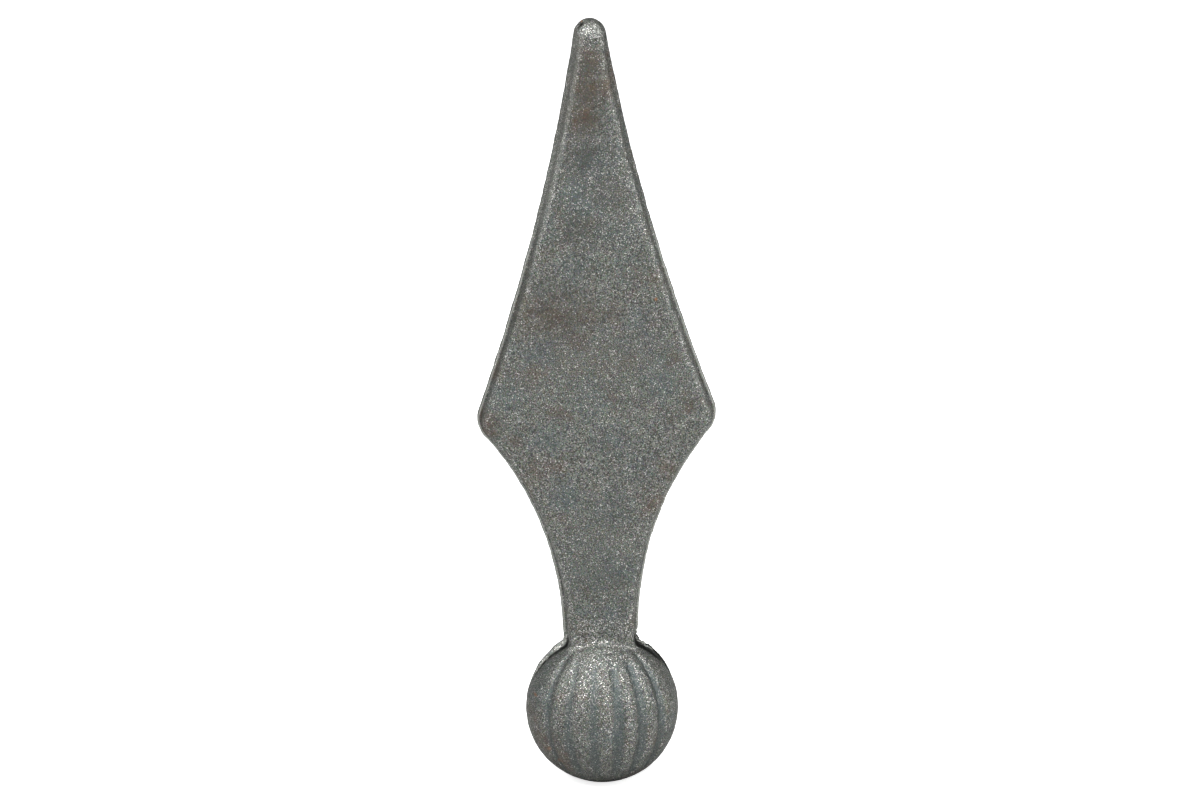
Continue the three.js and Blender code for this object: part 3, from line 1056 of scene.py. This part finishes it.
def forged_steel(finish):
    """Raw forged steel: dark scale, bright blasted grains, a faint heat tint, patches of oxide, painted shade
    and highlights.
    """
    material = bpy.data.materials.new("forged_steel")
    material.use_nodes = True
    tree = material.node_tree
    tree.nodes.clear()
    where = new_node(tree, "ShaderNodeTexCoord").outputs["Object"]
    apart = separate(tree, where)
    flat = feed(tree, new_node(tree, "ShaderNodeCombineXYZ"), X=apart["X"], Z=apart["Z"]).outputs["Vector"]
    # The third attribute holds painted shade, the fourth wear and painted highlight
    flute, rim, crease, worn = (
        new_node(tree, "ShaderNodeAttribute", attribute_name=name).outputs["Fac"]
        for name in ("flute", "rim", "crease", "worn")
    )
    grain, mottle, cloud, warm, ragged = (
        noise_texture(tree, where, *sizes)
        for sizes in ((finish.grain_size, *GRAIN), MOTTLE, CLOUD, WARMTH, RAGGED)
    )
    cells = new_node(tree, "ShaderNodeTexVoronoi", feature="F1")
    feed(tree, cells, Vector=where, Scale=1 / finish.grain_size)
    kinds = (OXIDE_PATCHES, OXIDE_RAMP), (HEAT_PATCHES, HEAT_RAMP), (SCALE_PATCHES, SCALE_RAMP)
    oxide, heated, scaled = (
        maths(tree, "MULTIPLY", patches(tree, flat, spots), remap(tree, ragged, *ramp))
        for spots, ramp in kinds
    )
    groove = remap(tree, flute, *GROOVE_RAMP)
    # Painted shade in the flutes, growing towards the bottom of the ball
    low_groove_shade = maths(tree, "MULTIPLY", groove, remap(tree, apart["Z"], *LOW_GROOVE_SHADE_RAMP))
    # Sheared steel on the flash, with wear and painted highlight, as lighter steel
    sheared_and_sheen = maths(tree, "MAXIMUM", remap(tree, rim, *SHEARED_RAMP), remap(tree, worn, *WEAR_AND_SHEEN_RAMP))
    dull = maths(tree, "MAXIMUM", groove, maths(tree, "MULTIPLY", oxide, OXIDE_DULL), scaled)
    bare = bare_grains(tree, cells, mottle, worn, dull)

    base = paint(tree, rgba(finish.scale), (
        (remap(tree, grain, *STEEL_RAMP), finish.steel),
        (remap(tree, cloud, *CLOUD_RAMP), finish.heat_tint),
        (remap(tree, warm, *WARMTH_RAMP), finish.oxide),
        (maths(tree, "MULTIPLY", heated, HEAT_TINT), finish.heat_tint),
        (scaled, finish.scale),
        (maths(tree, "MULTIPLY", oxide, OXIDE_TINT), finish.oxide),
    ))
    base = blend_colour(tree, GRAIN_TINT, base, cells.outputs["Color"], "OVERLAY")
    base = blend_colour(tree, 1.0, base, remap(tree, mottle, *SHADE_RAMP), "MULTIPLY")
    base = paint(tree, base, (
        (groove, finish.heat_tint),
        # Painted shade in the low flutes
        (low_groove_shade, finish.scale),
        # Lighter sheared steel, wear and painted highlight
        (sheared_and_sheen, [SHEARED_AND_SHEEN_LIGHT * part for part in finish.steel]),
        (bare, finish.bright),
        # Painted shade, darker than scale, in the gap beside the flash, at its outer edge, on the right
        # shoulder's flash and in the nicks
        (crease, [PAINTED_SHADE_DARK * part for part in finish.scale]),
        (patches(tree, flat, RUST_SPECKS), finish.rust),
    ))

    roughness = finish.roughness + SCALE_ROUGHER, finish.roughness - GRAIN_SMOOTHER
    rough = multiply_add(tree, bare, -BARE_SMOOTHER, remap(tree, grain, *ROUGH_RAMP, *roughness))
    lumps = maths(tree, "MULTIPLY", mottle, MOTTLE_RELIEF)
    relief = maths(tree, "ADD", grain, lumps, grain_tilt(tree, where, cells, finish))
    bump = feed(tree, new_node(tree, "ShaderNodeBump"), Strength=1.0, Distance=BUMP_HEIGHT, Height=relief)
    shader = new_node(tree, "ShaderNodeBsdfPrincipled")
    feed(tree, shader, Base_Color=base, Metallic=0.8, Roughness=rough, Normal=bump.outputs["Normal"])
    feed(tree, shader, Specular_Tint=(0.5, 0.5, 0.5, 1.0))
    out = new_node(tree, "ShaderNodeOutputMaterial")
    tree.links.new(shader.outputs["BSDF"], out.inputs["Surface"])
    return material


class FINIAL_OT_forging(bpy.types.Operator):
    """Model the forging's skin around its solid and give it its forged finish"""

    bl_idname = "finial.forging"
    bl_label = "Forging"
    bl_options = {"REGISTER", "UNDO"}

    def execute(self, context):
        skin = Skin(context.scene.forging_sizes)
        finish = context.scene.forged_finish
        bm = quarter_skin(skin)
        close_skin(bm)
        raise_flash(bm, skin)
        bm.normal_update()
        mark_point(bm)
        roughen(bm, finish, skin)
        keep_inside(bm, NODE_LOW, NODE_HIGH)
        mesh = bpy.data.meshes.new("finial_forging")
        bm.to_mesh(mesh)
        bm.free()
        mesh.shade_smooth()
        piece = bpy.data.objects.new("finial_forging", mesh)
        context.collection.objects.link(piece)
        mesh.materials.append(forged_steel(finish))
        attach(piece, "root")
        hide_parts(NODE)
        return {"FINISHED"}


# The floor: half its width, how far it lies below the weld flat, and how much it glows as the camera sees it
FLOOR_SIZE = 6.0
FLOOR_GAP = 0.02 * MM
FLOOR_GLOW = 0.8

# How far to the front and back of the sides the light in front passes into the light behind, out of 1
LIGHT_OVERLAP = 0.6

# The soft lights, named as their powers are: place, what they aim at, and width and height, in metres
SOFTBOXES = (
    ("overhead", (0.0, -0.35, 0.85), (0, 0, 0.06), (0.9, 0.65)),
    ("high_left", (-0.55, -0.35, 0.7), (0, 0, 0.06), (0.45, 0.45)),
    ("left", (-0.95, 0.1, 0.25), (0, 0, 0.08), (0.45, 0.7)),
    ("right", (0.85, -0.35, 0.3), (0, 0, 0.08), (0.45, 0.7)),
)

# The middle of the ball and its pixel in the photograph, the picture's size and pixels to a metre there; then
# the camera's sensor in millimetres, and the nearest and furthest that it sees
BALL_MIDDLE = Vector((0, 0, 15.6 * MM))
BALL_PIXEL = Vector((602.1, 706.0))
PICTURE = Vector((1200, 800))
PIXEL_SCALE = 4.7625 / MM
SENSOR_WIDTH = 36.0
CLIP_START = 0.1
CLIP_END = 40.0


def floor_surface(studio):
    """A pale floor that throws only a little light back up at the finial."""
    material = bpy.data.materials.new("pale_floor")
    material.use_nodes = True
    tree = material.node_tree
    seen = new_node(tree, "ShaderNodeLightPath").outputs["Is Camera Ray"]
    tint = blend_colour(tree, seen, rgba(studio.bounce), rgba(studio.floor))
    glow = maths(tree, "MULTIPLY", seen, FLOOR_GLOW)
    shader = tree.nodes["Principled BSDF"]
    feed(tree, shader, Base_Color=tint, Roughness=0.9, Specular_IOR_Level=0.0)
    feed(tree, shader, Emission_Color=(1, 1, 1, 1), Emission_Strength=glow)
    return material


def add_floor(context, studio):
    bm = bmesh.new()
    bmesh.ops.create_grid(bm, x_segments=1, y_segments=1, size=FLOOR_SIZE)
    mesh = bpy.data.meshes.new("floor")
    bm.to_mesh(mesh)
    bm.free()
    floor = bpy.data.objects.new("floor", mesh)
    floor.location.z = NODE_LOW.z - FLOOR_GAP
    mesh.materials.append(floor_surface(studio))
    context.collection.objects.link(floor)


def add_surroundings(context, studio):
    """Even light all round, stronger from the front, and plain white where the camera sees past the floor."""
    world = bpy.data.worlds.new("studio_light")
    world.use_nodes = True
    tree = world.node_tree
    towards = separate(tree, new_node(tree, "ShaderNodeTexCoord").outputs["Generated"])
    glow = remap(tree, towards["Y"], -LIGHT_OVERLAP, LIGHT_OVERLAP, studio.front, studio.back)
    seen = new_node(tree, "ShaderNodeLightPath").outputs["Is Camera Ray"]
    light = maths(tree, "MAXIMUM", glow, seen)
    feed(tree, tree.nodes["Background"], Strength=light, Color=(1, 1, 1, 1))
    context.scene.world = world


def add_softbox(context, name, place, aim, size, watts):
    light = bpy.data.lights.new(name, "AREA")
    light.shape = "RECTANGLE"
    light.size, light.size_y = size
    light.energy = watts
    lamp = bpy.data.objects.new(name, light)
    lamp.location = place
    lamp.rotation_euler = (Vector(aim) - Vector(place)).to_track_quat("-Z", "Y").to_euler()
    context.collection.objects.link(lamp)


def add_camera(context, studio):
    """A long lens in front of the finial, slightly above it, framed and tilted as in the photograph."""
    turn, lift = studio.azimuth, studio.elevation
    back = Vector((math.sin(turn) * math.cos(lift), -math.cos(turn) * math.cos(lift), math.sin(lift)))
    data = bpy.data.cameras.new("camera")
    camera = bpy.data.objects.new("camera", data)
    context.collection.objects.link(camera)
    data.sensor_width = SENSOR_WIDTH
    data.lens = studio.distance * PIXEL_SCALE * data.sensor_width / PICTURE.x
    data.clip_start, data.clip_end = CLIP_START, CLIP_END
    look = (-back).to_track_quat("-Z", "Y").to_matrix() @ Matrix.Rotation(-studio.roll, 3, "Z")
    shift = Vector((PICTURE.x / 2 - BALL_PIXEL.x, BALL_PIXEL.y - PICTURE.y / 2)) / PIXEL_SCALE
    place = BALL_MIDDLE + back * studio.distance + look @ Vector((shift.x, shift.y, 0))
    camera.matrix_world = Matrix.Translation(place) @ look.to_4x4()
    context.scene.camera = camera


class FINIAL_OT_stage(bpy.types.Operator):
    """Set up the pale floor, the soft lights and the camera"""

    bl_idname = "finial.stage"
    bl_label = "Stage"
    bl_options = {"REGISTER", "UNDO"}

    def execute(self, context):
        studio = context.scene.studio_settings
        add_floor(context, studio)
        add_camera(context, studio)
        add_surroundings(context, studio)
        for name, place, aim, size in SOFTBOXES:
            add_softbox(context, name, place, aim, size, getattr(studio, name))
        context.scene.view_settings.view_transform = "Standard"
        return {"FINISHED"}


class FINIAL_PT_panel(bpy.types.Panel):
    """Lists the finial's operators and sizes"""

    bl_label = "Spear Finial"
    bl_idname = "FINIAL_PT_panel"
    bl_space_type = "VIEW_3D"
    bl_region_type = "UI"
    bl_category = "Spear Finial"

    def draw(self, context):
        scene = context.scene
        for operator in (FINIAL_OT_forging, FINIAL_OT_stage):
            self.layout.operator(operator.bl_idname)
        for group in (scene.forging_sizes, scene.forged_finish, scene.studio_settings):
            box = self.layout.box()
            for name in group.bl_rna.properties.keys():
                if name not in {"rna_type", "name"}:
                    box.prop(group, name)


GROUPS = {"forging_sizes": ForgingSizes, "forged_finish": ForgedFinish, "studio_settings": StudioSettings}
CLASSES = (*GROUPS.values(), FINIAL_OT_forging, FINIAL_OT_stage, FINIAL_PT_panel)


def register():
    for cls in CLASSES:
        bpy.utils.register_class(cls)
    for name, group in GROUPS.items():
        setattr(bpy.types.Scene, name, bpy.props.PointerProperty(type=group))


def unregister():
    for name in GROUPS:
        delattr(bpy.types.Scene, name)
    for cls in reversed(CLASSES):
        bpy.utils.unregister_class(cls)


def main():
    register()
    bpy.ops.finial.forging()
    bpy.ops.finial.stage()


if __name__ == "__main__":
    main()
